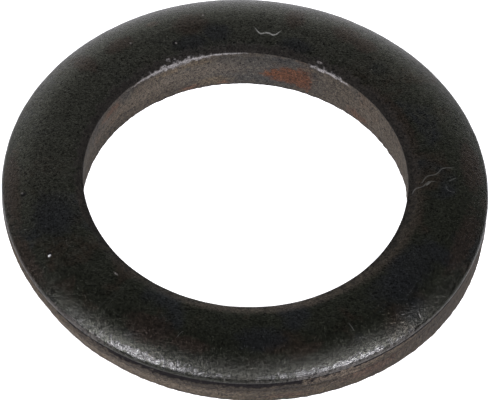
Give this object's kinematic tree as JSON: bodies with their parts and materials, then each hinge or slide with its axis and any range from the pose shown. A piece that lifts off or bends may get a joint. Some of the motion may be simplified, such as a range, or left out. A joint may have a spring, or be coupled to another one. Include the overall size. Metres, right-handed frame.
{
  "type": "flat washer",
  "caption": "Thick flat washer: a plain steel ring blanked from plate, with a rolled upper shoulder, a wide bore and a flat underside.",
  "frame": {"origin": "centre of the bore in the plane of the lower face, which the washer stands on", "axes": "+Z along the bore axis, from the lower face to the upper face with the rolled shoulders; X and Y lie in the lower face and are alike"},
  "size_m": [0.042, 0.042, 0.005],
  "materials": {
    "black_steel": "black oxide over mill scale, oiled, with worn edges and a little rust"
  },
  "bodies": {
    "root": {"flat_washer": "black_steel"}
  },
  "joints": []
}
